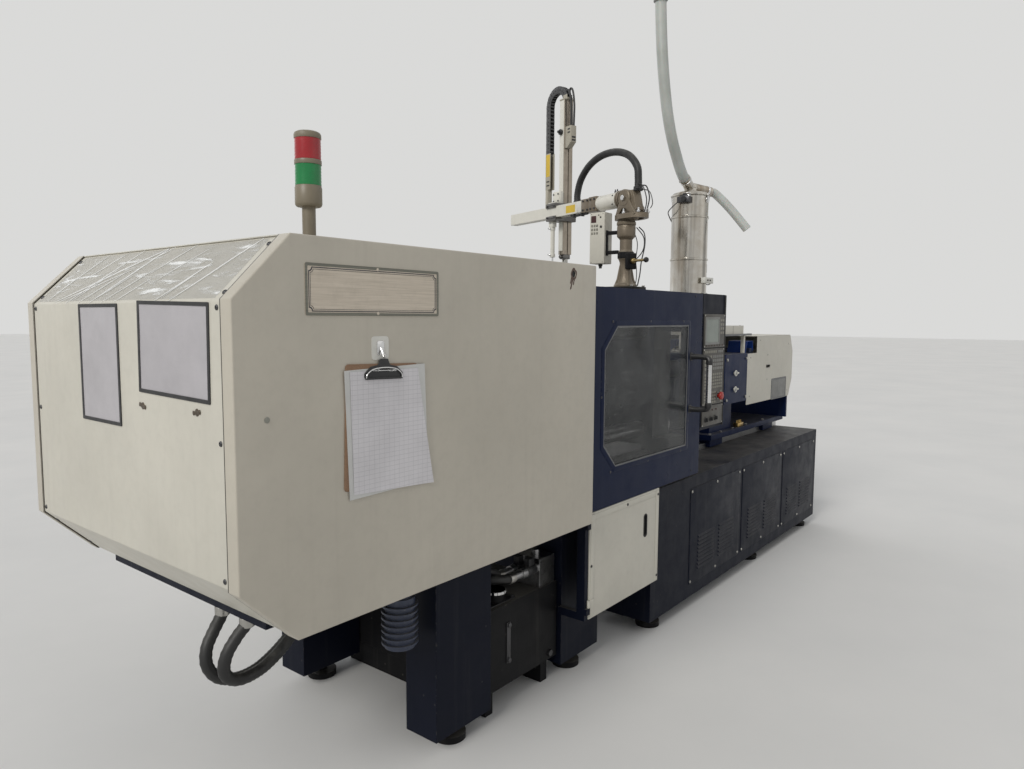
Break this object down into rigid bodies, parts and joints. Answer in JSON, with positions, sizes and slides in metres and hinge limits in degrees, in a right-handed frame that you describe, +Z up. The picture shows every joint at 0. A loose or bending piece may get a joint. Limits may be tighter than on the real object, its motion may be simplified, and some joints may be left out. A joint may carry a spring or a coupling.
{
  "type": "injection moulding machine",
  "caption": "Horizontal toggle injection moulding machine with cream clamp cover, blue safety door, hopper loader, sprue picker and signal lamp.",
  "frame": {"origin": "point on the floor under the fixed platen's mould face, on the machine's centre line", "axes": "+X along the machine from the clamp end to the injection end, +Z up, the operator's side at -Y"},
  "size_m": [4.42, 1.5203, 3.2039],
  "materials": {
    "navy_paint": "semi-gloss enamel, dusty and scuffed",
    "door_paint": "semi-gloss enamel with rubbed edges",
    "cream_paint": "satin powder coat, streaked with dust and oil",
    "blue_paint": "semi-gloss enamel",
    "black_paint": "satin, dusty",
    "unit_paint": "satin enamel",
    "black_plastic": "moulded, lightly worn",
    "hose_rubber": "ribbed, dusty",
    "machined_steel": "turned and ground, oiled",
    "stainless": "polished with fingerprints",
    "clear_sheet": "scratched clear plastic sheet",
    "lens_red": "clear coloured lenses",
    "stop_red": "smooth",
    "panel_film": "membrane film",
    "board": "pressed board, worn",
    "hose_clear": "wire wound clear hose, cloudy",
    "cast_bronze": "hammered finish on castings",
    "arm_alloy": "anodised profile"
  },
  "bodies": {
    "machine": {"clamp_bed": "navy_paint", "injection_bed": "navy_paint", "levelling_feet": "black_paint", "oil_tank": "black_paint", "pump_units": "unit_paint", "valve_block": "machined_steel", "hydraulic_hoses": "hose_rubber", "guide_ways": "machined_steel", "fixed_platen": "navy_paint", "tie_bars": "machined_steel", "side_cover_front": "cream_paint", "side_cover_rear": "cream_paint", "end_cover": "cream_paint", "top_cover": "cream_paint", "door_rails": "machined_steel", "control_cabinet": "navy_paint", "control_panel": "panel_film", "rear_cabinet": "cream_paint", "lamp_body": "black_plastic", "lamp_lenses": "lens_red", "clipboard": "board", "picker_base": "black_paint"},
    "stop_button": {"emergency_stop": "stop_red"},
    "front_door": {"front_door": "door_paint", "front_window": "clear_sheet", "front_handle": "black_plastic"},
    "rear_door": {"rear_door": "door_paint", "rear_window": "clear_sheet"},
    "chute_door": {"chute_door": "cream_paint"},
    "rear_platen": {"rear_platen": "navy_paint", "adjusting_drive": "machined_steel", "clamp_cylinder": "unit_paint"},
    "upper_rear_link": {"upper_rear_link": "machined_steel"},
    "upper_front_link": {"upper_front_link": "machined_steel"},
    "upper_drive_link": {"upper_drive_link": "machined_steel"},
    "lower_rear_link": {"lower_rear_link": "machined_steel"},
    "lower_front_link": {"lower_front_link": "machined_steel"},
    "lower_drive_link": {"lower_drive_link": "machined_steel"},
    "crosshead": {"crosshead": "machined_steel"},
    "moving_platen": {"moving_platen": "navy_paint", "ejector_cylinder": "unit_paint"},
    "ejector": {"ejector": "machined_steel"},
    "carriage": {"injection_housing": "blue_paint", "barrel": "machined_steel", "heater_bands": "stainless", "injection_cylinders": "unit_paint", "injection_cover": "cream_paint", "throat_guard": "cream_paint", "hopper": "stainless", "loader": "stainless", "loader_fittings": "stainless", "loader_hose": "hose_clear"},
    "thrust": {"thrust_plate": "unit_paint", "drive_motor": "unit_paint"},
    "screw": {"screw": "machined_steel"},
    "picker_head": {"picker_head": "cast_bronze", "picker_hose": "hose_rubber"},
    "picker_carriage": {"picker_carriage": "arm_alloy", "cable_chain": "black_plastic"},
    "picker_arm": {"picker_arm": "arm_alloy"}
  },
  "joints": [
    {"name": "die_height", "type": "slide", "parent": "machine", "child": "rear_platen", "axis": [1, 0, 0], "range_m": [0, 0.3]},
    {"name": "toggle", "type": "hinge", "parent": "rear_platen", "child": "upper_rear_link", "pos_m": [-1.16, 0, 1.39], "axis": [0, -1, 0], "range_deg": [0, 76.17]},
    {"name": "upper_knee", "type": "hinge", "parent": "upper_rear_link", "child": "upper_front_link", "pos_m": [-1.105, 0, 1.16667], "axis": [0, -1, 0], "range_deg": [-152.34, 0]},
    {"name": "upper_platen_pin", "type": "hinge", "parent": "upper_front_link", "child": "moving_platen", "pos_m": [-1.05, 0, 1.39], "axis": [0, -1, 0], "range_deg": [0, 76.17]},
    {"name": "upper_drive_pin", "type": "hinge", "parent": "upper_rear_link", "child": "upper_drive_link", "pos_m": [-1.17718, 0, 1.23093], "axis": [0, -1, 0], "range_deg": [-152.34, 0]},
    {"name": "crosshead_pin", "type": "hinge", "parent": "upper_drive_link", "child": "crosshead", "pos_m": [-1.19436, 0, 1.39], "axis": [0, -1, 0], "range_deg": [0, 76.17]},
    {"name": "lower_rear_pin", "type": "hinge", "parent": "rear_platen", "child": "lower_rear_link", "pos_m": [-1.16, 0, 0.85], "axis": [0, -1, 0], "range_deg": [-76.17, 0]},
    {"name": "lower_knee", "type": "hinge", "parent": "lower_rear_link", "child": "lower_front_link", "pos_m": [-1.105, 0, 1.07333], "axis": [0, -1, 0], "range_deg": [0, 152.34]},
    {"name": "lower_drive_pin", "type": "hinge", "parent": "lower_rear_link", "child": "lower_drive_link", "pos_m": [-1.17718, 0, 1.00907], "axis": [0, -1, 0], "range_deg": [0, 152.34]},
    {"name": "ejector", "type": "slide", "parent": "moving_platen", "child": "ejector", "axis": [1, 0, 0], "range_m": [0, 0.1]},
    {"name": "front_door", "type": "slide", "parent": "machine", "child": "front_door", "axis": [-1, 0, 0], "range_m": [0, 0.74]},
    {"name": "rear_door", "type": "slide", "parent": "machine", "child": "rear_door", "axis": [-1, 0, 0], "range_m": [0, 0.74]},
    {"name": "chute_door", "type": "hinge", "parent": "machine", "child": "chute_door", "pos_m": [-0.906, -0.542, 0.48], "axis": [0, 0, -1], "range_deg": [0, 90]},
    {"name": "emergency_stop", "type": "slide", "parent": "machine", "child": "stop_button", "axis": [0, 1, 0], "range_m": [0, 0.006], "stiffness_N_per_m": 800},
    {"name": "carriage", "type": "slide", "parent": "machine", "child": "carriage", "axis": [1, 0, 0], "range_m": [0, 0.25]},
    {"name": "injection", "type": "slide", "parent": "carriage", "child": "thrust", "axis": [1, 0, 0], "range_m": [0, 0.18]},
    {"name": "screw", "type": "hinge", "parent": "thrust", "child": "screw", "pos_m": [1.2, 0, 1.12], "axis": [1, 0, 0], "continuous": true},
    {"name": "picker_swing", "type": "hinge", "parent": "machine", "child": "picker_head", "pos_m": [0.075, -0.11, 1.9], "axis": [0, 0, -1], "range_deg": [-90, 0]},
    {"name": "picker_kick", "type": "slide", "parent": "picker_head", "child": "picker_carriage", "axis": [0.3156, 0.9489, 0], "range_m": [-0.1, 0.25]},
    {"name": "picker_lift", "type": "slide", "parent": "picker_carriage", "child": "picker_arm", "axis": [0, 0, 1], "range_m": [-0.3, 0]}
  ],
  "couplings": [
    {"joint": "upper_knee", "follows": "toggle", "ratio": -2},
    {"joint": "upper_platen_pin", "follows": "toggle", "ratio": 1},
    {"joint": "upper_drive_pin", "follows": "toggle", "ratio": -2},
    {"joint": "crosshead_pin", "follows": "toggle", "ratio": 1},
    {"joint": "lower_rear_pin", "follows": "toggle", "ratio": -1},
    {"joint": "lower_knee", "follows": "toggle", "ratio": 2},
    {"joint": "lower_drive_pin", "follows": "toggle", "ratio": 2}
  ]
}
